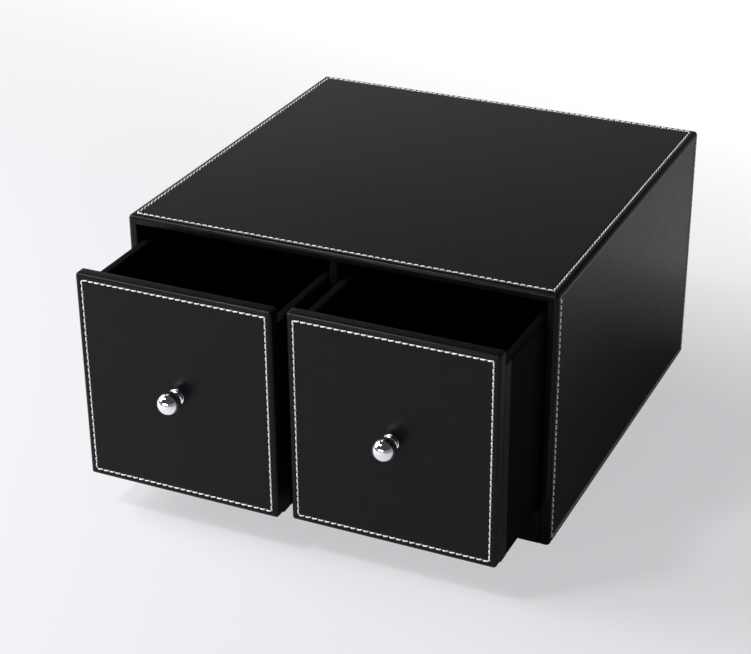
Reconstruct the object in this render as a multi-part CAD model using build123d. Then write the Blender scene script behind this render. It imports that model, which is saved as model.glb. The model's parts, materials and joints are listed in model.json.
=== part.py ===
from build123d import *
import os
from math import cos, pi, sin

# Two-drawer storage chest for disc cases: a board carcass wrapped in black leathercloth, with two
# open-topped drawers side by side. Millimetres, +Z up, the front faces -Y, and the origin is the
# middle of the underside. The drawers are drawn partly open, as the chest was photographed.

# ---------------------------------------------------------------- overall size
CABINET_WIDTH = 308.0
CABINET_DEPTH = 305.0
CABINET_HEIGHT = 183.5

# ---------------------------------------------------------------- leathercloth and its turned edges
LEATHER = 0.8               # thickness of the leathercloth
EDGE_RADIUS = 2.8           # wrapped outer edges of the carcass
MOUTH_RADIUS = 1.6          # wrapped edges round the two drawer bays
FOOT_RADIUS = 1.2           # wrapped edges round the underside
BOARD_BEVEL = 1.2           # eased edges of the boards, inside the wrap
SEAM_DROP = 3.2             # the top's leather ends this far below the top face
BAY_TURN_IN = 15.0          # leather turned in behind the front edges
BACK_TURN_IN = 12.0         # side leather turned onto the back
BASE_TURN_IN = 10.0         # leather turned under the base

# ---------------------------------------------------------------- carcass boards
SIDE_BOARD = 5.6
TOP_BOARD = 5.0
BACK_BOARD = 5.6
BASE_BOARD = 5.0
RAIL_BOARD = 5.6
DECK_BOARD = 5.0
DIVIDER_BOARD = 4.8
DECK_HEIGHT = 25.0          # what the drawers slide on, above the table

# ---------------------------------------------------------------- drawer fronts
FRONT_THICKNESS = 9.0
FRONT_SIDE_GAP = 1.0
FRONT_TOP_GAP = 0.8
FRONT_BOTTOM_GAP = 1.5
FRONT_EDGE_RADIUS = 2.4
FRONT_CORNER_RADIUS = 2.0
FRONT_BACK_BEVEL = 0.6
FRONT_BOARD_BEVEL = 0.9

# ---------------------------------------------------------------- drawer boxes
WALL_BOARD = 5.5
BOX_FRONT_BOARD = 4.0
FLOOR_BOARD = 4.0
FLOOR_LINING = 1.0
WALL_COVER = 0.5            # matt covering cloth on the walls
WALL_DROP = 11.0            # the walls end this far below the top of the front
STRIP_WIDTH = 9.0           # leather strip round each front corner of the box
STRIP_THICKNESS = 0.8
REAR_GAP = 0.8              # left behind a drawer that is pushed home
GLIDE_HEIGHT = 1.2
GLIDE_WIDTH = 8.0
GLIDE_END_GAP = 12.0
GLIDE_CLEARANCE = 0.3

# ---------------------------------------------------------------- knobs and their screws
KNOB_RADIUS = 7.9
KNOB_BALL_CENTRE = 9.8      # in front of the leather
KNOB_BANDS = 7              # straight cuts that the ball is turned with, pole to pole
KNOB_NECK_RADIUS = 3.1
KNOB_FOOT_RADIUS = 5.6
KNOB_FOOT_EDGE = 0.7        # height of the foot's rim
KNOB_FOOT_HEIGHT = 1.8      # height of its cone, up to the neck
SCREW_RADIUS = 2.0
SCREW_HEAD_RADIUS = 3.9
SCREW_HEAD_HEIGHT = 2.4
SCREW_GRIP = 5.5            # length held in the knob
SCREW_BORE_CLEARANCE = 0.05
SCREW_HOLE_CLEARANCE = 0.2
SCREW_HEAD_BEVEL = 0.9
SCREW_SLOT_WIDTH = 1.0
SCREW_SLOT_DEPTH = 0.9

# ---------------------------------------------------------------- how far each drawer stands open
LEFT_OPENING = 79.5
RIGHT_OPENING = 76.0

# ---------------------------------------------------------------- worked out from the above
FRONT_Y = -CABINET_DEPTH / 2
BACK_Y = CABINET_DEPTH / 2
SIDE_X = CABINET_WIDTH / 2
BOARD_SIDE_X = SIDE_X - LEATHER - SIDE_BOARD        # inner face of a side board
BAY_SIDE_X = BOARD_SIDE_X - LEATHER                 # inner face of its turned-in leather
BOARD_DIVIDER_X = DIVIDER_BOARD / 2
BAY_DIVIDER_X = BOARD_DIVIDER_X + LEATHER
BOARD_TOP_Z = CABINET_HEIGHT - LEATHER - TOP_BOARD  # underside of the top board
BAY_TOP_Z = BOARD_TOP_Z - LEATHER
BOARD_DECK_Z = DECK_HEIGHT - LEATHER                # top of the deck board
SEAM_Z = CABINET_HEIGHT - SEAM_DROP
BAY_BACK_Y = BACK_Y - LEATHER - BACK_BOARD
RAIL_BACK_Y = FRONT_Y + LEATHER + RAIL_BOARD
BASE_TOP_Z = LEATHER + BASE_BOARD
TURN_IN_Y = FRONT_Y + BAY_TURN_IN

BAY_WIDTH = BAY_SIDE_X - BAY_DIVIDER_X
BAY_CENTRE_X = (BAY_SIDE_X + BAY_DIVIDER_X) / 2
FRONT_WIDTH = BAY_WIDTH - 2 * FRONT_SIDE_GAP
FRONT_BOTTOM_Z = DECK_HEIGHT + FRONT_BOTTOM_GAP
FRONT_TOP_Z = BAY_TOP_Z - FRONT_TOP_GAP
KNOB_Z = (FRONT_BOTTOM_Z + FRONT_TOP_Z) / 2

BOX_Y = FRONT_Y + FRONT_THICKNESS                   # back of the front, where the box starts
BOX_BACK_Y = BAY_BACK_Y - REAR_GAP                  # outside of the covered back wall
BOX_BOTTOM_Z = DECK_HEIGHT + GLIDE_CLEARANCE + GLIDE_HEIGHT
WALL_TOP_Z = FRONT_TOP_Z - WALL_DROP                # over the covering
WALL_BOARD_TOP_Z = WALL_TOP_Z - WALL_COVER
WALL_OUTER_X = FRONT_WIDTH / 2 - STRIP_THICKNESS    # bare board, from the drawer's middle
WALL_INNER_X = WALL_OUTER_X - WALL_BOARD
BOX_FRONT_INNER_Y = BOX_Y + BOX_FRONT_BOARD
BACK_WALL_OUTER_Y = BOX_BACK_Y - WALL_COVER
BACK_WALL_INNER_Y = BACK_WALL_OUTER_Y - WALL_BOARD
FLOOR_Z = BOX_BOTTOM_Z + FLOOR_BOARD                # top of the floor board

FAR = 2 * (CABINET_WIDTH + CABINET_DEPTH + CABINET_HEIGHT)   # well past every face


def block(x0, x1, y0, y1, z0, z1):
    """A box between two corners."""
    corner = Location((x0, y0, z0))
    return corner * Box(x1 - x0, y1 - y0, z1 - z0, align=(Align.MIN, Align.MIN, Align.MIN))


def slab(axis, low, high):
    """All the space between two planes square to one axis."""
    span = {"x": (-FAR, FAR), "y": (-FAR, FAR), "z": (-FAR, FAR)}
    span[axis] = (low, high)
    return block(*span["x"], *span["y"], *span["z"])


def mirrored_pair(shape):
    """The shape and its mirror image across the middle of the chest."""
    return shape + mirror(shape, Plane.YZ)


# ---------------------------------------------------------------- the wrapped carcass
def hull(inset):
    """The chest's outline, drawn in by a thickness."""
    return block(-SIDE_X + inset, SIDE_X - inset, FRONT_Y + inset, BACK_Y - inset,
                 inset, CABINET_HEIGHT - inset)


def upper_edges(body):
    """The upright edges of a block and those round its top."""
    return body.edges().filter_by(Axis.Z) + body.faces().sort_by(Axis.Z)[-1].edges()


def bays(growth):
    """The two drawer bays as solids, grown sideways, up and down by a thickness."""
    bay = block(BAY_DIVIDER_X - growth, BAY_SIDE_X + growth, FRONT_Y - MOUTH_RADIUS, BAY_BACK_Y,
                DECK_HEIGHT - growth, BAY_TOP_Z + growth)
    return mirrored_pair(bay)


def wrapped_carcass():
    """The carcass with its leather on and its bays open, every wrapped edge rounded."""
    outline = hull(0)
    outline = fillet(upper_edges(outline), EDGE_RADIUS)
    outline = fillet(outline.faces().sort_by(Axis.Z)[0].edges(), FOOT_RADIUS)
    carcass = outline - bays(0)
    front_face = carcass.faces().filter_by(Axis.Y).sort_by(Axis.Y)[0]
    mouth_edges = [edge for wire in front_face.inner_wires() for edge in wire.edges()]
    return fillet(mouth_edges, MOUTH_RADIUS)


def bare_carcass():
    """All the boards together, with the edges under the leather eased."""
    outline = hull(LEATHER)
    return chamfer(upper_edges(outline), BOARD_BEVEL) - bays(LEATHER)


def carcass_boards():
    """The bare boards, parted where one butts against the next."""
    boards = bare_carcass()
    inside = slab("x", -BOARD_SIDE_X, BOARD_SIDE_X)
    below_top = slab("z", -FAR, BOARD_TOP_Z)
    walls = boards & below_top
    between_sides = walls & inside
    front_to_back = between_sides & slab("y", -FAR, BAY_BACK_Y)
    footing = front_to_back & slab("z", -FAR, BOARD_DECK_Z)
    above_base = footing & slab("z", BASE_TOP_Z, FAR)
    return {
        "top_board": boards & slab("z", BOARD_TOP_Z, FAR),
        "left_side_board": walls & slab("x", -FAR, -BOARD_SIDE_X),
        "right_side_board": walls & slab("x", BOARD_SIDE_X, FAR),
        "back_board": between_sides & slab("y", BAY_BACK_Y, FAR),
        "divider_board": front_to_back & slab("z", BOARD_DECK_Z, FAR),
        "base_board": footing & slab("z", -FAR, BASE_TOP_Z),
        "front_rail_board": above_base & slab("y", -FAR, RAIL_BACK_Y),
        "deck_board": (above_base & slab("y", RAIL_BACK_Y, FAR)
                       & slab("z", BOARD_DECK_Z - DECK_BOARD, FAR)),
    }


def carcass_leather():
    """The wrap of the carcass, parted along its seams."""
    wrap = wrapped_carcass() - bare_carcass()
    wrap -= block(-BOARD_SIDE_X, BOARD_SIDE_X, TURN_IN_Y, BAY_BACK_Y, BOARD_DECK_Z, BOARD_TOP_Z)
    wrap -= base_cover()
    over_seam = slab("z", SEAM_Z, FAR)
    top_lip = slab("z", BAY_TOP_Z, SEAM_Z) & slab("y", -FAR, FRONT_Y + EDGE_RADIUS)
    top_turn_in = (slab("z", BAY_TOP_Z, SEAM_Z) & slab("x", -BAY_SIDE_X, BAY_SIDE_X)
                   & slab("y", FRONT_Y + EDGE_RADIUS, TURN_IN_Y))
    top_region = over_seam + top_lip + top_turn_in
    rest = wrap - top_region
    under_base = slab("z", -FAR, LEATHER)
    right_region = (slab("x", BAY_SIDE_X, FAR)
                    + (slab("x", SIDE_X - BACK_TURN_IN, FAR) & slab("y", BAY_BACK_Y, FAR))
                    + (slab("x", SIDE_X - BASE_TURN_IN, FAR) & under_base))
    left_region = mirror(right_region, Plane.YZ)
    back_region = (slab("y", BAY_BACK_Y, FAR)
                   + (slab("y", BACK_Y - BASE_TURN_IN, FAR) & under_base))
    middle = rest - right_region - left_region
    front_middle = middle - back_region
    return {
        "top_leather": wrap & top_region,
        "left_side_leather": rest & left_region,
        "right_side_leather": rest & right_region,
        "back_leather": middle & back_region,
        "divider_leather": front_middle & slab("z", DECK_HEIGHT, FAR),
        "front_rail_leather": front_middle & slab("z", -FAR, DECK_HEIGHT),
    }


def base_cover():
    """The cloth sheet on the underside, level with the leather turned under round it."""
    half_width = SIDE_X - BASE_TURN_IN
    half_depth = CABINET_DEPTH / 2 - BASE_TURN_IN
    return block(-half_width, half_width, -half_depth, half_depth, 0, LEATHER)


def deck_lining(side):
    """The smooth cloth that one drawer slides on, behind the turned-in leather."""
    inner, outer = sorted((side * BOARD_DIVIDER_X, side * BOARD_SIDE_X))
    return block(inner, outer, TURN_IN_Y, BAY_BACK_Y, BOARD_DECK_Z, DECK_HEIGHT)


# ---------------------------------------------------------------- one drawer, pushed home at x = 0
def front_outline(inset):
    """The front as a block, drawn in by a thickness on every side but its back."""
    half = FRONT_WIDTH / 2 - inset
    return block(-half, half, FRONT_Y + inset, BOX_Y, FRONT_BOTTOM_Z + inset, FRONT_TOP_Z - inset)


def screw_hole(radius):
    """A round hole along the knob's axis, right through the front."""
    hole = Cylinder(radius, FAR, rotation=(90, 0, 0))
    return Location((0, 0, KNOB_Z)) * hole


def front_board():
    """The front's board, stepped behind where leather is turned over it."""
    turned = slab("z", WALL_TOP_Z, FAR) & slab("y", BOX_Y - LEATHER, FAR)
    board = front_outline(LEATHER)
    board = chamfer(board.edges().filter_by(Axis.Y), FRONT_BOARD_BEVEL)
    board = chamfer(board.faces().sort_by(Axis.Y)[0].edges(), FRONT_BOARD_BEVEL)
    return board - turned - screw_hole(SCREW_RADIUS + SCREW_HOLE_CLEARANCE)


def front_leather():
    """Leather over the face and edges of the front, turned down behind it as far as the box."""
    wrapped = front_outline(0)
    wrapped = fillet(wrapped.edges().filter_by(Axis.Y), FRONT_CORNER_RADIUS)
    wrapped = fillet(wrapped.faces().sort_by(Axis.Y)[0].edges(), FRONT_EDGE_RADIUS)
    wrapped = chamfer(wrapped.faces().sort_by(Axis.Y)[-1].edges(), FRONT_BACK_BEVEL)
    return wrapped - front_board() - screw_hole(SCREW_RADIUS + SCREW_HOLE_CLEARANCE)


def side_wall(side):
    inner, outer = sorted((side * WALL_INNER_X, side * WALL_OUTER_X))
    return block(inner, outer, BOX_Y, BACK_WALL_OUTER_Y, BOX_BOTTOM_Z, WALL_BOARD_TOP_Z)


def box_front():
    wall = block(-WALL_INNER_X, WALL_INNER_X, BOX_Y, BOX_FRONT_INNER_Y, BOX_BOTTOM_Z,
                 WALL_BOARD_TOP_Z)
    return wall - screw_hole(SCREW_RADIUS + SCREW_HOLE_CLEARANCE)


def back_wall():
    return block(-WALL_INNER_X, WALL_INNER_X, BACK_WALL_INNER_Y, BACK_WALL_OUTER_Y, BOX_BOTTOM_Z,
                 WALL_BOARD_TOP_Z)


def floor_board():
    return block(-WALL_INNER_X, WALL_INNER_X, BOX_FRONT_INNER_Y, BACK_WALL_INNER_Y, BOX_BOTTOM_Z,
                 FLOOR_Z)


def floor_lining():
    return block(-WALL_INNER_X, WALL_INNER_X, BOX_FRONT_INNER_Y, BACK_WALL_INNER_Y, FLOOR_Z,
                 FLOOR_Z + FLOOR_LINING)


def wall_cover():
    """Matt cloth over the outside, the top edges and the inside of the four walls."""
    outer_x = WALL_OUTER_X + WALL_COVER
    inner_x = WALL_INNER_X - WALL_COVER
    outside = block(-outer_x, outer_x, BOX_Y, BOX_BACK_Y, BOX_BOTTOM_Z, WALL_TOP_Z)
    hollow = block(-inner_x, inner_x, BOX_FRONT_INNER_Y + WALL_COVER,
                   BACK_WALL_INNER_Y - WALL_COVER, BOX_BOTTOM_Z, WALL_TOP_Z)
    boards = block(-WALL_OUTER_X, WALL_OUTER_X, BOX_Y, BACK_WALL_OUTER_Y, BOX_BOTTOM_Z,
                   WALL_BOARD_TOP_Z)
    room = block(-WALL_INNER_X, WALL_INNER_X, BOX_FRONT_INNER_Y, BACK_WALL_INNER_Y, BOX_BOTTOM_Z,
                 WALL_BOARD_TOP_Z)
    floor = slab("z", -FAR, FLOOR_Z + FLOOR_LINING) & room
    cover = outside - hollow - (boards - room) - floor
    return cover - corner_strips() - screw_hole(SCREW_RADIUS + SCREW_HOLE_CLEARANCE)


def corner_strips():
    """Leather turned from the front onto each side of the box."""
    strip = block(WALL_OUTER_X, WALL_OUTER_X + STRIP_THICKNESS, BOX_Y, BOX_Y + STRIP_WIDTH,
                  BOX_BOTTOM_Z, WALL_TOP_Z)
    return mirrored_pair(strip)


def glides():
    """Two low cloth runners under the side walls."""
    glide = block(WALL_OUTER_X - GLIDE_WIDTH, WALL_OUTER_X, BOX_Y + GLIDE_END_GAP,
                  BACK_WALL_OUTER_Y - GLIDE_END_GAP, BOX_BOTTOM_Z - GLIDE_HEIGHT, BOX_BOTTOM_Z)
    return mirrored_pair(glide)


def knob_ball():
    """The ball, turned about the knob's axis with straight cuts that touch its sphere."""
    reach = KNOB_RADIUS / cos(pi / KNOB_BANDS / 2)
    angles = [pi * step / KNOB_BANDS for step in range(KNOB_BANDS + 1)]
    cuts = [(reach * sin(angle), KNOB_BALL_CENTRE + reach * cos(angle)) for angle in angles]
    cuts[0] = (0, KNOB_BALL_CENTRE + KNOB_RADIUS)
    cuts[-1] = (0, KNOB_BALL_CENTRE - KNOB_RADIUS)
    profile = Plane.XZ * Polygon(*cuts, align=None)
    return revolve(profile, Axis.Z)


def knob():
    """A turned ball knob on a neck and a coned foot, with a blind hole for its screw."""
    ball = knob_ball()
    stem = (Align.CENTER, Align.CENTER, Align.MIN)
    rim = Cylinder(KNOB_FOOT_RADIUS, KNOB_FOOT_EDGE, align=stem)
    cone = Location((0, 0, KNOB_FOOT_EDGE)) * Cone(
        KNOB_FOOT_RADIUS, KNOB_NECK_RADIUS, KNOB_FOOT_HEIGHT - KNOB_FOOT_EDGE, align=stem)
    neck = Cylinder(KNOB_NECK_RADIUS, KNOB_BALL_CENTRE, align=stem)
    bore = Cylinder(SCREW_RADIUS + SCREW_BORE_CLEARANCE, SCREW_GRIP + SCREW_RADIUS, align=stem)
    body = ball + rim + cone + neck - bore
    return Location((0, FRONT_Y, KNOB_Z), (90, 0, 0)) * body


def knob_screw():
    """A pan-head machine screw from inside the box, through its wall and the front."""
    seat_y = BOX_FRONT_INNER_Y + WALL_COVER
    shank = Cylinder(SCREW_RADIUS, seat_y - FRONT_Y + SCREW_GRIP,
                     align=(Align.CENTER, Align.CENTER, Align.MIN))
    head = Cylinder(SCREW_HEAD_RADIUS, SCREW_HEAD_HEIGHT,
                    align=(Align.CENTER, Align.CENTER, Align.MAX))
    head = chamfer(head.edges().sort_by(Axis.Z)[0], SCREW_HEAD_BEVEL)
    slot = Location((0, 0, -SCREW_HEAD_HEIGHT)) * Box(
        2 * SCREW_HEAD_RADIUS, SCREW_SLOT_WIDTH, SCREW_SLOT_DEPTH,
        align=(Align.CENTER, Align.CENTER, Align.MIN))
    screw = shank + head - slot
    return Location((0, seat_y, KNOB_Z), (90, 0, 0)) * screw


def drawer(side, opening):
    """Every piece of one drawer, set in its bay and pulled open."""
    name = "left" if side < 0 else "right"
    pieces = {
        "front_board": front_board(),
        "front_leather": front_leather(),
        "box_front": box_front(),
        "inner_wall": side_wall(-side),
        "outer_wall": side_wall(side),
        "back_wall": back_wall(),
        "floor_board": floor_board(),
        "floor_lining": floor_lining(),
        "wall_cover": wall_cover(),
        "corner_strips": corner_strips(),
        "glides": glides(),
        "knob": knob(),
        "knob_screw": knob_screw(),
    }
    place = Location((side * BAY_CENTRE_X, -opening, 0))
    return {f"{name}_drawer_{piece}": place * shape for piece, shape in pieces.items()}


def chest():
    """Every piece of the chest by name."""
    pieces = carcass_boards()
    pieces.update(carcass_leather())
    pieces["base_cover"] = base_cover()
    pieces["left_deck_lining"] = deck_lining(-1)
    pieces["right_deck_lining"] = deck_lining(1)
    pieces.update(drawer(-1, LEFT_OPENING))
    pieces.update(drawer(1, RIGHT_OPENING))
    return pieces


os.makedirs("parts", exist_ok=True)
for node, shape in chest().items():
    export_step(shape, f"parts/{node}.step")
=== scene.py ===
import json
import math

import bmesh
import bpy
from mathutils import Matrix, Vector


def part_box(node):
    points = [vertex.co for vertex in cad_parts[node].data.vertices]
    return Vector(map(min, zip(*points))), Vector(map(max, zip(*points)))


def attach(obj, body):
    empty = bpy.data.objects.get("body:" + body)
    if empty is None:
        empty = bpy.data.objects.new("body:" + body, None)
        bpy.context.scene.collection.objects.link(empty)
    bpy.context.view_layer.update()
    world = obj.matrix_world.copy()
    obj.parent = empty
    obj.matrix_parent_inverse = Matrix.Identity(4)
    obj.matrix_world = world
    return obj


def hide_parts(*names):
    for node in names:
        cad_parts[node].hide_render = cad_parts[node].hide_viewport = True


# Looks of a two-drawer storage chest for disc cases, wrapped in stitched black leathercloth.
# The frame is in metres. The shapes below are drawn in millimetres and scaled when they are made.

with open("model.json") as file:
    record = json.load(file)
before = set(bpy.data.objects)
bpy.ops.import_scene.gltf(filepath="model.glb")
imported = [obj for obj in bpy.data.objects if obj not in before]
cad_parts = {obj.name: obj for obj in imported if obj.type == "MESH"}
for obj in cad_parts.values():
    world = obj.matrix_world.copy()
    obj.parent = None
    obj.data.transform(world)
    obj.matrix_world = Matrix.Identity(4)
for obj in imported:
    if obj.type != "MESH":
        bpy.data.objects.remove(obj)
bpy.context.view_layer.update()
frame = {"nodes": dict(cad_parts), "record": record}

MM = 0.001

# ---------------------------------------------------------------- leathercloth and its turned edges
LEATHER = 0.8               # thickness
EDGE_RADIUS = 2.8           # outer edges of the carcass
MOUTH_RADIUS = 1.6          # edges round the drawer bays
FOOT_RADIUS = 1.2           # edges round the underside
SEAM_FOLD = 0.7             # rounding where a side's leather ends under the top's
TOP_FOLD = 0.4              # rounding of the top leather's own edge at that seam
BAY_TURN_IN = 15.0
BACK_TURN_IN = 12.0
BASE_TURN_IN = 10.0
LIP_OVERLAP = 1.2           # side and divider leather runs up behind the top's lip this far
FRONT_EDGE_RADIUS = 2.4
FRONT_CORNER_RADIUS = 2.0
FRONT_BACK_BEVEL = 0.6
TOP_LEAST_CORNER = 0.3      # the top's rings have no corner sharper than this
FRONT_LEAST_CORNER = 0.2
TUCK_SHARE = 1.1            # thicknesses that a side's leather is drawn in behind the top's lip
TUCK_STEP = 0.1             # height over which it steps in
HAIR = 0.05                 # a hair's breadth, by which faces overlap and levels keep apart
SHARP_ANGLE = 35            # degrees, from which an edge is shaded as sharp

# ---------------------------------------------------------------- cloth on the box walls
WALL_CLOTH = 0.5            # thickness
WALL_EDGE_RADIUS = 1.4      # folded over the top of a wall
WALL_OUTER_CORNER = 0.8
WALL_INNER_CORNER = 0.3
WALL_CLOTH_TUCK = 0.2       # its lower end is this far under the floor lining's face

# ---------------------------------------------------------------- colours of the leathercloth, and a highlight painted at its side seams
LEATHER_DARK = (0.0032, 0.0032, 0.0046)
LEATHER_LIGHT = (0.0048, 0.0048, 0.0066)
# colour of the pale band painted along the side seams: a painted highlight
SEAM_HIGHLIGHT_COLOUR = (0.22, 0.22, 0.23)
SEAM_HIGHLIGHT_HEIGHT = 1.1              # height of the pale band painted along the side seams as a highlight
SEAM_HIGHLIGHT_FRAY = 0.1         # how far its lower end wavers, and how softly it ends

# ---------------------------------------------------------------- stitching
STITCH_PITCH = 4.5
STITCH_GAP = 0.55           # between one stitch and the next
STITCH_SLANT = 0.45         # sideways shift from one end of a stitch to the other
THREAD_RADIUS = 0.44
THREAD_RISE = 0.25          # centre of the thread over the leather's face, halfway along
THREAD_SINK = 0.85          # centre of the thread under the face, at each hole
THREAD_TWIST = 2.2          # half turns of the two plies along a stitch
THREAD_PLY = 0.16           # how far the plies swell past the radius, as a share of it
STITCH_RINGS = 9
STITCH_SIDES = 10
TOP_ROW_INSET = 4.9
SIDE_ROW_INSET = 5.2
SIDE_ROW_HEIGHT = 4.0       # the side's bottom row, above the table
FRONT_ROW_LEFT = 5.0        # a front's four rows, in from its edges
FRONT_ROW_RIGHT = 4.2
FRONT_ROW_TOP = 4.3
FRONT_ROW_BOTTOM = 4.8
DIP_DEPTH = 0.38            # how far a row pulls the leather down
DIP_REACH = 1.5             # and how far to each side of the row

# ---------------------------------------------------------------- knobs
KNOB_RADIUS = 7.9
KNOB_BALL_CENTRE = 9.8      # in front of the leather
KNOB_NECK_RADIUS = 3.1
KNOB_FOOT_RADIUS = 5.6
KNOB_FOOT_EDGE = 0.7        # height of the foot's rim
KNOB_FOOT_HEIGHT = 1.8      # height of its cone, up to the neck
KNOB_FOOT_LEDGE = 0.2       # flat ring between the cone and the rim
KNOB_RIM_BEVEL = 0.15       # at the leather
KNOB_RIM_SOFTENING = 0.06   # at the ledge
KNOB_TIP_ANGLE = 0.004      # radians, where the ball's first ring lies
KNOB_BALL_STEPS = 40
KNOB_FOOT_STEPS = 8

ARC_STEPS = 6               # faces round a quarter turn
TURN_STEPS = 96             # faces round a turned piece


def box_mm(node):
    """Lowest and highest corners of a CAD node at rest, in millimetres."""
    low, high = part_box(node)
    return low / MM, high / MM


# ---------------------------------------------------------------- places read from the frame
TOP_LOW, TOP_HIGH = box_mm("top_leather")
DIVIDER_LOW, DIVIDER_HIGH = box_mm("divider_leather")
SIDE_X = TOP_HIGH.x
FRONT_Y = TOP_LOW.y
BACK_Y = TOP_HIGH.y
TOP_Z = TOP_HIGH.z
BAY_TOP_Z = TOP_LOW.z
SEAM_Z = box_mm("right_side_leather")[1].z
DECK_Z = box_mm("front_rail_leather")[1].z
BAY_SIDE_X = box_mm("right_deck_lining")[1].x - LEATHER
BAY_DIVIDER_X = DIVIDER_HIGH.x
TURN_IN_Y = FRONT_Y + BAY_TURN_IN


# ---------------------------------------------------------------- shapes
def quarter(steps=ARC_STEPS):
    """Angles through a quarter turn, both ends included."""
    return [math.pi / 2 * step / steps for step in range(steps + 1)]


def skin(mesh, loops, back_to_first=False):
    """Skins a run of closed loops with equal point counts, and returns their corners row by row."""
    rows = [[mesh.verts.new(point) for point in loop] for loop in loops]
    following = rows[1:] + (rows[:1] if back_to_first else [])
    count = len(rows[0])
    for lower, upper in zip(rows, following):
        for i in range(count):
            j = (i + 1) % count
            mesh.faces.new((lower[i], lower[j], upper[j], upper[i]))
    return rows


def loft(mesh, loops):
    """Skins a run of closed loops and closes both ends."""
    rows = skin(mesh, loops)
    mesh.faces.new(rows[0][::-1])
    mesh.faces.new(rows[-1])


def slab(mesh, low, high):
    """A thin plain block, for leather that lies flat where nothing bends it."""
    x0, y0, z0 = low
    x1, y1, z1 = high
    floor = [(x0, y0, z0), (x1, y0, z0), (x1, y1, z0), (x0, y1, z0)]
    loft(mesh, [floor, [(x, y, z1) for x, y, z in floor]])


def rounded_rectangle(low, high, radius):
    """Points round a rounded rectangle, anticlockwise from its first corner."""
    (u0, v0), (u1, v1) = low, high
    corners = [(u0, v0, 180), (u1, v0, 270), (u1, v1, 0), (u0, v1, 90)]
    points = []
    for number, (u, v, start) in enumerate(corners):
        centre_u = u + (radius if number in (0, 3) else -radius)
        centre_v = v + (radius if number in (0, 1) else -radius)
        for angle in quarter():
            turn = math.radians(start) + angle
            points.append((centre_u + radius * math.cos(turn), centre_v + radius * math.sin(turn)))
    return points


def bent_line(corners, radii, stations):
    """A line bent square at each inner corner: (point, outward normal) pairs.

    Stations are extra places on a run, given by the run's number, measured from its first corner.
    """
    corners = [Vector(corner) for corner in corners]
    line = []
    for run, (start, end) in enumerate(zip(corners, corners[1:])):
        along = (end - start).normalized()
        if run == 0:
            after = (corners[2] - end).normalized()
            line.append((start, -after))
        outward = line[-1][1].copy()
        for distance in stations.get(run, []):
            line.append((start + along * distance, outward.copy()))
        if run == len(corners) - 2:
            line.append((end, outward))
            continue
        after = (corners[run + 2] - end).normalized()
        radius = radii[run]
        for angle in quarter():
            back = along * (radius * (1 - math.sin(angle)))
            over = after * (radius * (1 - math.cos(angle)))
            normal = along * math.sin(angle) - after * math.cos(angle)
            line.append((end - back + over, normal))
    return line


def dip(distance):
    """How far a row of stitches pulls the leather down at a distance from it."""
    if abs(distance) >= DIP_REACH:
        return 0.0
    return DIP_DEPTH * (0.5 + 0.5 * math.cos(math.pi * distance / DIP_REACH))


def dip_stations(row):
    """Places across a row of stitches where its dip needs points."""
    shares = (-1.5, -1, -0.7, -0.4, -0.15, 0.15, 0.4, 0.7, 1, 1.5)
    return [row + share * DIP_REACH for share in shares]


def roll(radius):
    """(inset, depth) pairs round an edge, from its face to its side."""
    return [(radius * (1 - math.sin(angle)), radius * (1 - math.cos(angle))) for angle in quarter()]


def finish_piece(name, mesh, surface, body, slot, *nodes):
    """Turns a mesh drawn in millimetres into a piece that rides on its body."""
    bmesh.ops.recalc_face_normals(mesh, faces=mesh.faces)
    data = bpy.data.meshes.new(name)
    mesh.to_mesh(data)
    mesh.free()
    data.transform(Matrix.Scale(MM, 4))
    data.materials.append(surface)
    data.shade_smooth()
    data.set_sharp_from_angle(angle=math.radians(SHARP_ANGLE))
    piece = bpy.data.objects.new(name, data)
    bpy.context.scene.collection.objects.link(piece)
    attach(piece, body)
    if nodes:
        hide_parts(*nodes)


# ---------------------------------------------------------------- materials
def material(name, base, roughness, specular=0.5, metallic=0.0):
    """A principled material and its shader node."""
    result = bpy.data.materials.new(name)
    result.use_nodes = True
    shader = result.node_tree.nodes["Principled BSDF"]
    shader.inputs["Base Color"].default_value = (*base, 1)
    shader.inputs["Roughness"].default_value = roughness
    shader.inputs["Specular IOR Level"].default_value = specular
    shader.inputs["Metallic"].default_value = metallic
    return result, shader


def object_coordinates(tree):
    return tree.nodes.new("ShaderNodeTexCoord").outputs["Object"]


def noise(tree, coordinates, scale, detail=2.0, roughness=0.5):
    """Noise whose scale is in features per metre."""
    node = tree.nodes.new("ShaderNodeTexNoise")
    node.inputs["Scale"].default_value = scale
    node.inputs["Detail"].default_value = detail
    node.inputs["Roughness"].default_value = roughness
    tree.links.new(coordinates, node.inputs["Vector"])
    return node


def spread(tree, value, low, high, to_low, to_high):
    """Maps a value from one range onto another."""
    node = tree.nodes.new("ShaderNodeMapRange")
    node.inputs["From Min"].default_value = low
    node.inputs["From Max"].default_value = high
    node.inputs["To Min"].default_value = to_low
    node.inputs["To Max"].default_value = to_high
    tree.links.new(value, node.inputs["Value"])
    return node.outputs["Result"]


def math_node(tree, operation, first, second):
    """A two-input sum, product or the like of sockets or numbers."""
    node = tree.nodes.new("ShaderNodeMath")
    node.operation = operation
    for socket, value in zip(node.inputs, (first, second)):
        if isinstance(value, (int, float)):
            socket.default_value = value
        else:
            tree.links.new(value, socket)
    return node.outputs["Value"]


def bump(tree, height, distance, strength, below=None):
    node = tree.nodes.new("ShaderNodeBump")
    node.inputs["Distance"].default_value = distance
    node.inputs["Strength"].default_value = strength
    tree.links.new(height, node.inputs["Height"])
    if below is not None:
        tree.links.new(below, node.inputs["Normal"])
    return node.outputs["Normal"]


def two_tone(tree, share, first, second):
    """A colour between two, by a share from 0 to 1. The first may be a socket."""
    node = tree.nodes.new("ShaderNodeMix")
    node.data_type = "RGBA"
    if isinstance(first, tuple):
        node.inputs["A"].default_value = (*first, 1)
    else:
        tree.links.new(first, node.inputs["A"])
    node.inputs["B"].default_value = (*second, 1)
    tree.links.new(share, node.inputs["Factor"])
    return node.outputs["Result"]


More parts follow.
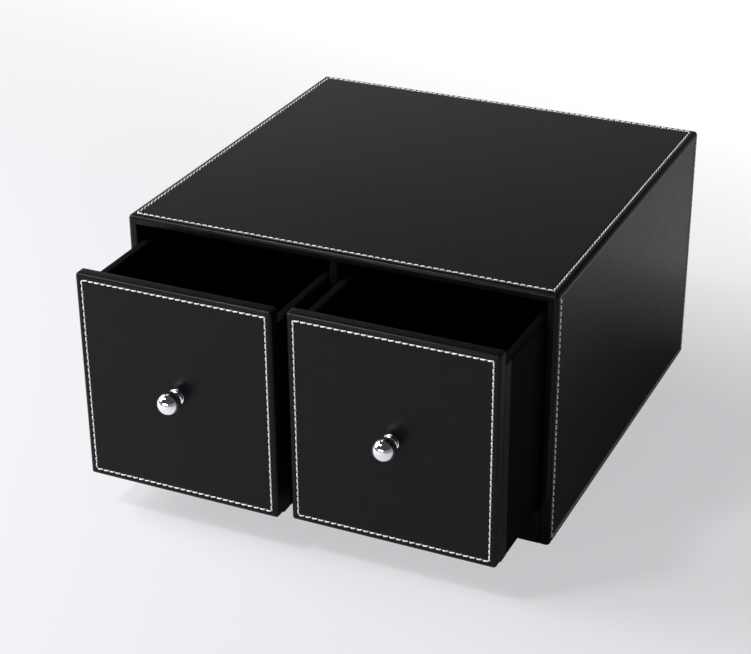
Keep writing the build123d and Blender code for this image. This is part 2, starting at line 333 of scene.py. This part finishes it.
def leather_material(name, painted_seam_highlight=False):
    """Black leathercloth: a fine pebbled grain, soft unevenness of the board, a satin finish.

    With a painted seam highlight, a pale band is painted along the seam where the sheet ends, in place of the
    highlight there.
    """
    result, shader = material(name, (0.004, 0.004, 0.0055), 0.3, specular=0.13)
    tree = result.node_tree
    place = object_coordinates(tree)

    pebbles = tree.nodes.new("ShaderNodeTexVoronoi")
    pebbles.feature = "SMOOTH_F1"
    pebbles.inputs["Scale"].default_value = 1300
    pebbles.inputs["Smoothness"].default_value = 0.6
    tree.links.new(place, pebbles.inputs["Vector"])
    hills = noise(tree, place, 14, detail=1)
    mottle = noise(tree, place, 160, detail=4, roughness=0.6)

    tone = spread(tree, mottle.outputs["Fac"], 0.3, 0.7, 0, 1)
    colour = two_tone(tree, tone, LEATHER_DARK, LEATHER_LIGHT)
    # A pale band painted along the top of the side sheet at the seam: a painted highlight, not the
    # leathercloth's own colour.
    if painted_seam_highlight:
        split = tree.nodes.new("ShaderNodeSeparateXYZ")
        tree.links.new(place, split.inputs["Vector"])
        fray = SEAM_HIGHLIGHT_FRAY * MM
        fraying = spread(tree, mottle.outputs["Fac"], 0.3, 0.7, -fray, fray)
        height = math_node(tree, "ADD", split.outputs["Z"], fraying)
        edge = (SEAM_Z - SEAM_HIGHLIGHT_HEIGHT) * MM
        share = spread(tree, height, edge - fray, edge + fray, 0, 1)
        colour = two_tone(tree, share, colour, SEAM_HIGHLIGHT_COLOUR)
    tree.links.new(colour, shader.inputs["Base Color"])
    finish = spread(tree, mottle.outputs["Fac"], 0.3, 0.7, 0.27, 0.33)
    tree.links.new(finish, shader.inputs["Roughness"])

    soft = bump(tree, hills.outputs["Fac"], 0.0006, 0.12)
    grain = bump(tree, pebbles.outputs["Distance"], 0.00006, 0.5, below=soft)
    tree.links.new(grain, shader.inputs["Normal"])
    return result


def weave_material(name, dark, light, threads, roughness):
    """Plain cloth, woven finely enough to look matt."""
    result, shader = material(name, dark, roughness, specular=0.05)
    tree = result.node_tree
    place = object_coordinates(tree)
    weave = tree.nodes.new("ShaderNodeTexMagic")
    weave.turbulence_depth = 1
    weave.inputs["Scale"].default_value = threads
    tree.links.new(place, weave.inputs["Vector"])
    fibres = noise(tree, place, 700, detail=3)
    tone = spread(tree, fibres.outputs["Fac"], 0.3, 0.7, 0, 1)
    tree.links.new(two_tone(tree, tone, dark, light), shader.inputs["Base Color"])
    rough_cloth = bump(tree, weave.outputs["Fac"], 0.0001, 0.4)
    fuzz = bump(tree, fibres.outputs["Fac"], 0.0002, 0.3, below=rough_cloth)
    tree.links.new(fuzz, shader.inputs["Normal"])
    return result


def felt_material():
    """Flocked black cloth, soft and without a shine."""
    result, shader = material("felt", (0.010, 0.010, 0.011), 0.95, specular=0.1)
    shader.inputs["Sheen Weight"].default_value = 0.12
    shader.inputs["Sheen Roughness"].default_value = 0.4
    tree = result.node_tree
    place = object_coordinates(tree)
    flock = noise(tree, place, 1500, detail=3, roughness=0.7)
    brushed = noise(tree, place, 45, detail=3)
    tone = spread(tree, brushed.outputs["Fac"], 0.35, 0.65, 0, 1)
    colour = two_tone(tree, tone, (0.008, 0.008, 0.009), (0.014, 0.014, 0.015))
    tree.links.new(colour, shader.inputs["Base Color"])
    tree.links.new(bump(tree, flock.outputs["Fac"], 0.0003, 0.6), shader.inputs["Normal"])
    return result


def board_material():
    """Fibreboard coloured near black, with a faint fibrous tone."""
    result, shader = material("board", (0.010, 0.010, 0.011), 0.8, specular=0.25)
    tree = result.node_tree
    place = object_coordinates(tree)
    fibre = noise(tree, place, 320, detail=5, roughness=0.65)
    tone = spread(tree, fibre.outputs["Fac"], 0.35, 0.65, 0, 1)
    colour = two_tone(tree, tone, (0.007, 0.007, 0.0075), (0.015, 0.0145, 0.014))
    tree.links.new(colour, shader.inputs["Base Color"])
    tree.links.new(bump(tree, fibre.outputs["Fac"], 0.0002, 0.3), shader.inputs["Normal"])
    return result


def chrome_material():
    """Polished chrome plate with the faintest haze."""
    result, shader = material("chrome", (0.86, 0.87, 0.88), 0.05, metallic=1.0)
    tree = result.node_tree
    haze = noise(tree, object_coordinates(tree), 240, detail=3)
    tree.links.new(spread(tree, haze.outputs["Fac"], 0.3, 0.8, 0.035, 0.085), shader.inputs["Roughness"])
    return result


def steel_material():
    """Zinc-plated steel, finely brushed by its tumbling."""
    result, shader = material("steel", (0.62, 0.62, 0.61), 0.32, metallic=1.0)
    tree = result.node_tree
    scuffs = noise(tree, object_coordinates(tree), 900, detail=4, roughness=0.7)
    tree.links.new(spread(tree, scuffs.outputs["Fac"], 0.3, 0.7, 0.25, 0.42), shader.inputs["Roughness"])
    tree.links.new(bump(tree, scuffs.outputs["Fac"], 0.00003, 0.4), shader.inputs["Normal"])
    return result


def thread_material():
    """Off-white bonded thread."""
    result, shader = material("thread", (0.84, 0.84, 0.81), 0.6, specular=0.3)
    tree = result.node_tree
    fibres = noise(tree, object_coordinates(tree), 2600, detail=2)
    tone = spread(tree, fibres.outputs["Fac"], 0.3, 0.7, 0, 1)
    colour = two_tone(tree, tone, (0.74, 0.74, 0.71), (0.90, 0.90, 0.87))
    tree.links.new(colour, shader.inputs["Base Color"])
    tree.links.new(bump(tree, fibres.outputs["Fac"], 0.00005, 0.4), shader.inputs["Normal"])
    return result


MATERIALS = {
    "leather": leather_material("leather"),
    "cover_cloth": weave_material(
        "cover_cloth", (0.0016, 0.0016, 0.0018), (0.0030, 0.0030, 0.0032), threads=2600, roughness=0.7),
    "felt": felt_material(),
    "board": board_material(),
    "chrome": chrome_material(),
    "steel": steel_material(),
    "thread": thread_material(),
}
# Leather with a pale band painted along its side seams as a highlight.
LEATHER_WITH_SEAM_HIGHLIGHT = leather_material("leather_with_painted_seam_highlight", painted_seam_highlight=True)


def dress_cad_nodes():
    """Every CAD node takes the material of its slot."""
    slots = {part["node"]: part["material_slot"] for part in frame["record"]["subparts"]}
    for node, piece in frame["nodes"].items():
        piece.data.materials.clear()
        piece.data.materials.append(MATERIALS[slots[node]])


# ---------------------------------------------------------------- carcass leather
def top_loop(inset, depth, front_inset=None, front_depth=None):
    """One ring of the top's leather. The front may be drawn in and down by other amounts."""
    front_inset = inset if front_inset is None else front_inset
    front_depth = depth if front_depth is None else front_depth
    radius = max(EDGE_RADIUS - inset, TOP_LEAST_CORNER)
    outline = rounded_rectangle((-SIDE_X + inset, FRONT_Y + inset), (SIDE_X - inset, BACK_Y - inset), radius)
    loop = []
    for number, (x, y) in enumerate(outline):
        on_front = 1 <= number <= 2 * ARC_STEPS
        if on_front:
            y = max(y, FRONT_Y + front_inset)
        loop.append((x, y, TOP_Z - (front_depth if on_front else depth)))
    return loop


def top_leather():
    """The top's sheet: over the face, down to the side seams, and over the front as a lip."""
    mesh = bmesh.new()
    seam_depth = TOP_Z - SEAM_Z
    lip_depth = TOP_Z - BAY_TOP_Z
    loops = [top_loop(station, dip(station - TOP_ROW_INSET))
             for station in reversed(dip_stations(TOP_ROW_INSET)) if station > EDGE_RADIUS]
    loops += [top_loop(inset, depth) for inset, depth in roll(EDGE_RADIUS)]
    lip = [(0, lip_depth - MOUTH_RADIUS)]
    lip += [(MOUTH_RADIUS * (1 - math.cos(angle)), lip_depth - MOUTH_RADIUS * (1 - math.sin(angle)))
            for angle in quarter()[1:]]
    fold = [(0, seam_depth - TOP_FOLD)]
    fold += [(TOP_FOLD * (1 - math.cos(angle)), seam_depth - TOP_FOLD * (1 - math.sin(angle)))
             for angle in quarter()[1:]]
    for (front_inset, front_depth), (inset, depth) in zip(lip, fold):
        loops.append(top_loop(inset, depth, front_inset, front_depth))
    loops.append(top_loop(LEATHER, seam_depth, MOUTH_RADIUS, lip_depth - LEATHER))
    loops.append(top_loop(LEATHER, seam_depth - TOP_FOLD, LEATHER, lip_depth - MOUTH_RADIUS))
    loops.append(top_loop(LEATHER, 2 * LEATHER))
    loops.append(top_loop(2 * LEATHER, LEATHER))
    loft(mesh, loops)
    for side in (-1, 1):
        inner, outer = sorted((side * BAY_DIVIDER_X, side * BAY_SIDE_X))
        slab(mesh, (inner, FRONT_Y + MOUTH_RADIUS - HAIR, BAY_TOP_Z), (outer, TURN_IN_Y, BAY_TOP_Z + LEATHER))
    finish_piece("top_leather_stitched", mesh, MATERIALS["leather"], "cabinet", "leather", "top_leather")


def wrap(mesh, line, levels, place, offset):
    """A sheet of leather along a bent line, built up level by level.

    offset(point, normal, level) is how far the outer face is drawn in there.
    """
    loops = []
    for level, inset in levels:
        outer = []
        inner = []
        for point, normal in line:
            drawn_in = inset + offset(point, normal, level)
            outer.append(place(point - normal * drawn_in, level))
            inner.append(place(point - normal * max(LEATHER, drawn_in + LEATHER / 2), level))
        loops.append(outer + inner[::-1])
    loft(mesh, loops)


def side_leather(side, name):
    """A side's sheet, from inside the bay round the front edge, the side and onto the back."""
    front_row = FRONT_Y + SIDE_ROW_INSET
    back_row = BACK_Y - SIDE_ROW_INSET
    stations = [y - FRONT_Y for row in (front_row, back_row) for y in dip_stations(row)]
    stations = [s for s in stations if EDGE_RADIUS < s < BACK_Y - FRONT_Y - EDGE_RADIUS]
    line = bent_line(
        [(BAY_SIDE_X, TURN_IN_Y), (BAY_SIDE_X, FRONT_Y), (SIDE_X, FRONT_Y), (SIDE_X, BACK_Y),
         (SIDE_X - BACK_TURN_IN, BACK_Y)],
        [MOUTH_RADIUS, EDGE_RADIUS, EDGE_RADIUS], {2: stations})
    lip_z = BAY_TOP_Z + LIP_OVERLAP
    levels = [(rise, inset) for inset, rise in roll(FOOT_RADIUS)]
    levels += [(z, 0) for z in dip_stations(SIDE_ROW_HEIGHT) if z > FOOT_RADIUS + HAIR]
    levels += [(lip_z - TUCK_STEP, 0), (lip_z, 0)]
    levels += [(SEAM_Z - SEAM_FOLD * (1 - math.sin(angle)), SEAM_FOLD * (1 - math.cos(angle)))
               for angle in quarter()]

    def offset(point, normal, level):
        if normal.x > 0.999:
            return max(dip(point.y - front_row), dip(point.y - back_row),
                       dip(level - SIDE_ROW_HEIGHT) if front_row < point.y < back_row else 0)
        behind_lip = level > lip_z - HAIR and (normal.x < -0.01 or normal.y < -0.01)
        return LEATHER * TUCK_SHARE if behind_lip else 0

    mesh = bmesh.new()
    wrap(mesh, line, levels, lambda point, level: (side * point.x, point.y, level), offset)
    inner, outer = sorted((side * (SIDE_X - BASE_TURN_IN), side * (SIDE_X - FOOT_RADIUS)))
    slab(mesh, (inner, FRONT_Y + FOOT_RADIUS, 0), (outer, BACK_Y - FOOT_RADIUS, LEATHER))
    finish_piece(f"{name}_leather_stitched", mesh, LEATHER_WITH_SEAM_HIGHLIGHT, "cabinet", "leather",
                 f"{name}_leather")


def divider_leather():
    """The strip folded over the divider's front edge."""
    line = bent_line(
        [(-BAY_DIVIDER_X, TURN_IN_Y), (-BAY_DIVIDER_X, FRONT_Y), (BAY_DIVIDER_X, FRONT_Y),
         (BAY_DIVIDER_X, TURN_IN_Y)],
        [MOUTH_RADIUS, MOUTH_RADIUS], {})
    levels = [(DIVIDER_LOW.z - LIP_OVERLAP, 0), (BAY_TOP_Z + LIP_OVERLAP, 0)]
    mesh = bmesh.new()
    wrap(mesh, line, levels, lambda point, level: (point.x, point.y, level), lambda *where: 0)
    finish_piece("divider_leather_folded", mesh, MATERIALS["leather"], "cabinet", "leather",
                 "divider_leather")


def front_rail_leather():
    """The strip folded over the rail under the drawers, onto the deck and under the base."""
    line = bent_line(
        [(TURN_IN_Y, DECK_Z), (FRONT_Y, DECK_Z), (FRONT_Y, 0), (FRONT_Y + BASE_TURN_IN, 0)],
        [MOUTH_RADIUS, FOOT_RADIUS], {})
    mesh = bmesh.new()
    wrap(mesh, line, [(-BAY_SIDE_X, 0), (BAY_SIDE_X, 0)],
         lambda point, level: (level, point.x, point.y), lambda *where: 0)
    finish_piece("front_rail_leather_folded", mesh, MATERIALS["leather"], "cabinet", "leather",
                 "front_rail_leather")


# ---------------------------------------------------------------- stitching
def stitch(mesh, start, end, normal):
    """One stitch of two-ply thread, out of its hole, over the leather and down the next."""
    along = (end - start).normalized()
    across = normal.cross(along)
    loops = []
    for ring in range(STITCH_RINGS):
        share = ring / (STITCH_RINGS - 1)
        lift = THREAD_RISE * math.sin(math.pi * share) ** 0.45 - THREAD_SINK * abs(2 * share - 1) ** 6
        centre = start.lerp(end, share) + normal * lift + across * STITCH_SLANT * (share - 0.5)
        twist = share * math.pi * THREAD_TWIST
        loop = []
        for side in range(STITCH_SIDES):
            angle = 2 * math.pi * side / STITCH_SIDES
            ply = THREAD_RADIUS * (1 + THREAD_PLY * math.cos(2 * (angle - twist)))
            loop.append(centre + across * ply * math.cos(angle) + normal * ply * math.sin(angle))
        loops.append(loop)
    loft(mesh, loops)


def stitch_row(mesh, start, end, normal):
    """Stitches of even pitch along a straight row."""
    start = Vector(start)
    end = Vector(end)
    normal = Vector(normal)
    count = round((end - start).length / STITCH_PITCH)
    step = (end - start) / count
    gap = step.normalized() * STITCH_GAP / 2
    for number in range(count):
        first = start + step * number
        stitch(mesh, first + gap, first + step - gap, normal)


def stitching(name, corners, normal, closed, body):
    """Rows of stitches from corner to corner."""
    mesh = bmesh.new()
    ends = corners[1:] + (corners[:1] if closed else [])
    for start, end in zip(corners, ends):
        stitch_row(mesh, start, end, normal)
    finish_piece(name, mesh, MATERIALS["thread"], body, "thread")


def carcass_stitching():
    """A row all round the top, and a row down, along and up each side."""
    x = SIDE_X - TOP_ROW_INSET
    front = FRONT_Y + TOP_ROW_INSET
    back = BACK_Y - TOP_ROW_INSET
    top = TOP_Z
    stitching("top_stitching", [(-x, front, top), (x, front, top), (x, back, top), (-x, back, top)],
              (0, 0, 1), True, "cabinet")
    front = FRONT_Y + SIDE_ROW_INSET
    back = BACK_Y - SIDE_ROW_INSET
    seam = SEAM_Z - SEAM_FOLD
    low = SIDE_ROW_HEIGHT
    for side, name in ((-1, "left"), (1, "right")):
        x = side * SIDE_X
        stitching(f"{name}_side_stitching",
                  [(x, front, seam), (x, front, low), (x, back, low), (x, back, seam)],
                  (side, 0, 0), False, "cabinet")


# ---------------------------------------------------------------- drawers
def drawer_front(name):
    """The front's leather, wrapped round its board, with a dip along the stitching."""
    low, high = box_mm(f"{name}_front_leather")
    depth_of_front = high.y - low.y

    def loop(inset, depth):
        radius = max(FRONT_CORNER_RADIUS - inset, FRONT_LEAST_CORNER)
        outline = rounded_rectangle((low.x + inset, low.z + inset), (high.x - inset, high.z - inset), radius)
        return [(x, low.y + depth, z) for x, z in outline]

    x0 = low.x + FRONT_ROW_LEFT
    x1 = high.x - FRONT_ROW_RIGHT
    z0 = low.z + FRONT_ROW_BOTTOM
    z1 = high.z - FRONT_ROW_TOP

    def row_loop(beside):
        """A ring beside the rows of stitches, further in where beside is more than 0."""
        outline = rounded_rectangle((x0 + beside, z0 + beside), (x1 - beside, z1 - beside),
                                    FRONT_LEAST_CORNER)
        return [(x, low.y + dip(beside), z) for x, z in outline]

    mesh = bmesh.new()
    # The outermost place is left out, because the edge's rounding starts there.
    loops = [row_loop(beside) for beside in reversed(dip_stations(0)[1:])]
    loops += [loop(inset, depth) for inset, depth in roll(FRONT_EDGE_RADIUS)]
    loops += [loop(0, depth_of_front - FRONT_BACK_BEVEL), loop(FRONT_BACK_BEVEL, depth_of_front)]
    loft(mesh, loops)
    finish_piece(f"{name}_front_leather_stitched", mesh, MATERIALS["leather"], name, "leather",
                 f"{name}_front_leather")
    stitching(f"{name}_front_stitching", [(x0, low.y, z0), (x1, low.y, z0), (x1, low.y, z1), (x0, low.y, z1)],
              (0, -1, 0), True, name)


def wall_cover(name):
    """The cloth on a box's walls, folded over their top edges."""
    low, high = box_mm(f"{name}_wall_cover")
    floor_high = box_mm(f"{name}_floor_lining")[1]
    board_low, board_high = box_mm(f"{name}_box_front")
    wall = high.x - floor_high.x + WALL_CLOTH
    front_wall = board_high.y - board_low.y + WALL_CLOTH

    def loop(inset, z):
        share = inset / wall
        radius = WALL_OUTER_CORNER if inset < wall / 2 else WALL_INNER_CORNER
        outline = rounded_rectangle((low.x + inset, low.y + share * front_wall),
                                    (high.x - inset, high.y - inset), radius)
        return [(x, y, z) for x, y in outline]

    fold = WALL_EDGE_RADIUS
    loops = [loop(0, low.z)]
    loops += [loop(fold * (1 - math.cos(angle)), high.z - fold * (1 - math.sin(angle)))
              for angle in quarter()]
    loops += [loop(wall - fold * (1 - math.sin(angle)), high.z - fold * (1 - math.cos(angle)))
              for angle in quarter()]
    loops.append(loop(wall, floor_high.z - WALL_CLOTH_TUCK))
    mesh = bmesh.new()
    skin(mesh, loops, back_to_first=True)
    finish_piece(f"{name}_wall_cloth", mesh, MATERIALS["cover_cloth"], name, "cover_cloth",
                 f"{name}_wall_cover")


def knob_profile():
    """(height, radius) down the knob, from the ball's tip to the foot on the leather."""
    neck_angle = math.asin(KNOB_NECK_RADIUS / KNOB_RADIUS)
    profile = []
    for step in range(KNOB_BALL_STEPS + 1):
        angle = KNOB_TIP_ANGLE + (math.pi - neck_angle - KNOB_TIP_ANGLE) * step / KNOB_BALL_STEPS
        profile.append((KNOB_BALL_CENTRE + KNOB_RADIUS * math.cos(angle), KNOB_RADIUS * math.sin(angle)))
    rise = KNOB_FOOT_HEIGHT - KNOB_FOOT_EDGE
    cone_radius = KNOB_FOOT_RADIUS - KNOB_FOOT_LEDGE
    for angle in quarter(KNOB_FOOT_STEPS)[1:]:
        radius = cone_radius - (cone_radius - KNOB_NECK_RADIUS) * math.cos(angle)
        profile.append((KNOB_FOOT_EDGE + rise * (1 - math.sin(angle)), radius))
    profile.append((KNOB_FOOT_EDGE - KNOB_RIM_SOFTENING, KNOB_FOOT_RADIUS - KNOB_RIM_SOFTENING))
    profile.append((KNOB_FOOT_EDGE - KNOB_FOOT_LEDGE, KNOB_FOOT_RADIUS))
    profile.append((KNOB_RIM_BEVEL, KNOB_FOOT_RADIUS))
    profile.append((0, KNOB_FOOT_RADIUS - KNOB_RIM_BEVEL))
    return profile


def knob(name):
    """The turned and plated ball knob."""
    low, high = box_mm(f"{name}_knob")
    centre_x = (low.x + high.x) / 2
    centre_z = (low.z + high.z) / 2
    loops = []
    for height, radius in knob_profile():
        loops.append([(centre_x + radius * math.cos(2 * math.pi * step / TURN_STEPS), high.y - height,
                       centre_z + radius * math.sin(2 * math.pi * step / TURN_STEPS))
                      for step in range(TURN_STEPS)])
    mesh = bmesh.new()
    loft(mesh, loops)
    finish_piece(f"{name}_ball_knob", mesh, MATERIALS["chrome"], name, "chrome", f"{name}_knob")


# ---------------------------------------------------------------- floor, light and camera
FLOOR_SIZE = 6.0
FLOOR_DROP = 0.0006          # keeps it clear of the chest's underside
FLOOR_COLOUR = (0.80, 0.80, 0.82)
FLOOR_GLOW = (0.84, 0.845, 0.87)
FLOOR_LIFT = 0.62            # share of its own light that the camera sees near the chest
FADE_REACH = (0.12, 0.62)    # where the floor starts to fade to white, and where it is white
FADE_SLANT = 0.25            # the fade comes sooner on the right
STUDIO_STRENGTH = 0.06
GLOW_STRENGTH = 1.1
GLOW_DIRECTION = (-0.8, 0.6, 0)
GLOW_HEIGHTS = (0.22, 0.38)  # sines of the elevations between which the glow dies away
GLOW_SPREAD = (0.6, 0.95)    # cosines, from its direction, between which it grows to full strength
GLOW_AROUND = 0.2            # what is left of it on the other side
CAMERA_PLACE = (0.4945, -1.1533, 0.6977)
CAMERA_AZIMUTH = 24.904      # degrees, from straight in front towards the chest's right
CAMERA_ELEVATION = 26.969
CAMERA_ROLL = -0.465
CAMERA_LENS = 91.39          # mm
CAMERA_FRAME = 36            # mm wide


def stage_floor():
    """A pale floor that fades to white behind the chest, with a light, soft shadow."""
    mesh = bmesh.new()
    half = FLOOR_SIZE / 2
    corners = ((-half, -half), (half, -half), (half, half), (-half, half))
    mesh.faces.new([mesh.verts.new((x, y, -FLOOR_DROP)) for x, y in corners])
    data = bpy.data.meshes.new("floor")
    mesh.to_mesh(data)
    mesh.free()
    floor = bpy.data.objects.new("floor", data)
    bpy.context.scene.collection.objects.link(floor)

    result, shader = material("floor", FLOOR_COLOUR, 0.8, specular=0.1)
    tree = result.node_tree
    split = tree.nodes.new("ShaderNodeSeparateXYZ")
    tree.links.new(object_coordinates(tree), split.inputs["Vector"])
    across = math_node(tree, "MULTIPLY", split.outputs["X"], FADE_SLANT)
    distance = math_node(tree, "ADD", split.outputs["Y"], across)
    away = spread(tree, distance, *FADE_REACH, FLOOR_LIFT, 1)
    rays = tree.nodes.new("ShaderNodeLightPath")
    seen = math_node(tree, "MULTIPLY", away, rays.outputs["Is Camera Ray"])
    glow = tree.nodes.new("ShaderNodeEmission")
    whiten = spread(tree, distance, *FADE_REACH, 0, 1)
    tree.links.new(two_tone(tree, whiten, FLOOR_GLOW, (1, 1, 1)), glow.inputs["Color"])
    mixed = tree.nodes.new("ShaderNodeMixShader")
    tree.links.new(seen, mixed.inputs["Fac"])
    tree.links.new(shader.outputs["BSDF"], mixed.inputs[1])
    tree.links.new(glow.outputs["Emission"], mixed.inputs[2])
    tree.links.new(mixed.outputs["Shader"], tree.nodes["Material Output"].inputs["Surface"])
    data.materials.append(result)


def world_light():
    """A dim studio with a pale glow low behind the chest, and white to the camera."""
    world = bpy.data.worlds.new("studio")
    world.use_nodes = True
    bpy.context.scene.world = world
    tree = world.node_tree
    background = tree.nodes["Background"]
    background.inputs["Color"].default_value = (0.96, 0.97, 1.0, 1)
    direction = tree.nodes.new("ShaderNodeTexCoord").outputs["Generated"]
    split = tree.nodes.new("ShaderNodeSeparateXYZ")
    tree.links.new(direction, split.inputs["Vector"])
    toward = tree.nodes.new("ShaderNodeVectorMath")
    toward.operation = "DOT_PRODUCT"
    tree.links.new(direction, toward.inputs[0])
    toward.inputs[1].default_value = GLOW_DIRECTION
    low = spread(tree, split.outputs["Z"], *GLOW_HEIGHTS, 1, 0)
    side = spread(tree, toward.outputs["Value"], *GLOW_SPREAD, GLOW_AROUND, 1)
    glow = math_node(tree, "MULTIPLY", math_node(tree, "MULTIPLY", low, side), GLOW_STRENGTH)
    studio = math_node(tree, "ADD", glow, STUDIO_STRENGTH)
    rays = tree.nodes.new("ShaderNodeLightPath")
    strength = math_node(tree, "MAXIMUM", studio, rays.outputs["Is Camera Ray"])
    tree.links.new(strength, background.inputs["Strength"])


def area_light(name, place, target, size, watts):
    """A rectangular lamp, aimed at its target."""
    data = bpy.data.lights.new(name, "AREA")
    data.shape = "RECTANGLE"
    data.size, data.size_y = size
    data.energy = watts
    lamp = bpy.data.objects.new(name, data)
    lamp.location = place
    lamp.rotation_euler = (Vector(target) - Vector(place)).to_track_quat("-Z", "Y").to_euler()
    bpy.context.scene.collection.objects.link(lamp)


def lights():
    """A broad key from the left, a small lamp above for the edges, and a low fill in front."""
    area_light("key", (-1.65, -0.45, 1.15), (0, 0, 0.05), (1.2, 1.2), 46)
    area_light("edge", (-0.76, -0.95, 1.72), (0, -0.15, 0.1), (0.3, 0.3), 15)
    area_light("fill", (-0.3, -2.2, 0.6), (0, -0.1, 0.05), (1.6, 0.5), 14)


def camera():
    """The photograph's viewpoint."""
    data = bpy.data.cameras.new("camera")
    data.sensor_width = CAMERA_FRAME
    data.lens = CAMERA_LENS
    data.clip_start = 0.05
    turn = (Matrix.Rotation(math.radians(CAMERA_AZIMUTH), 4, "Z")
            @ Matrix.Rotation(math.radians(90 - CAMERA_ELEVATION), 4, "X")
            @ Matrix.Rotation(math.radians(CAMERA_ROLL), 4, "Z"))
    view = bpy.data.objects.new("camera", data)
    view.matrix_world = Matrix.Translation(CAMERA_PLACE) @ turn
    bpy.context.scene.collection.objects.link(view)
    bpy.context.scene.camera = view


# ---------------------------------------------------------------- the scene
bpy.context.scene.view_settings.view_transform = "Standard"
dress_cad_nodes()
top_leather()
side_leather(-1, "left_side")
side_leather(1, "right_side")
divider_leather()
front_rail_leather()
carcass_stitching()
for drawer in ("left_drawer", "right_drawer"):
    drawer_front(drawer)
    wall_cover(drawer)
    knob(drawer)
stage_floor()
world_light()
lights()
camera()

bpy.context.view_layer.update()
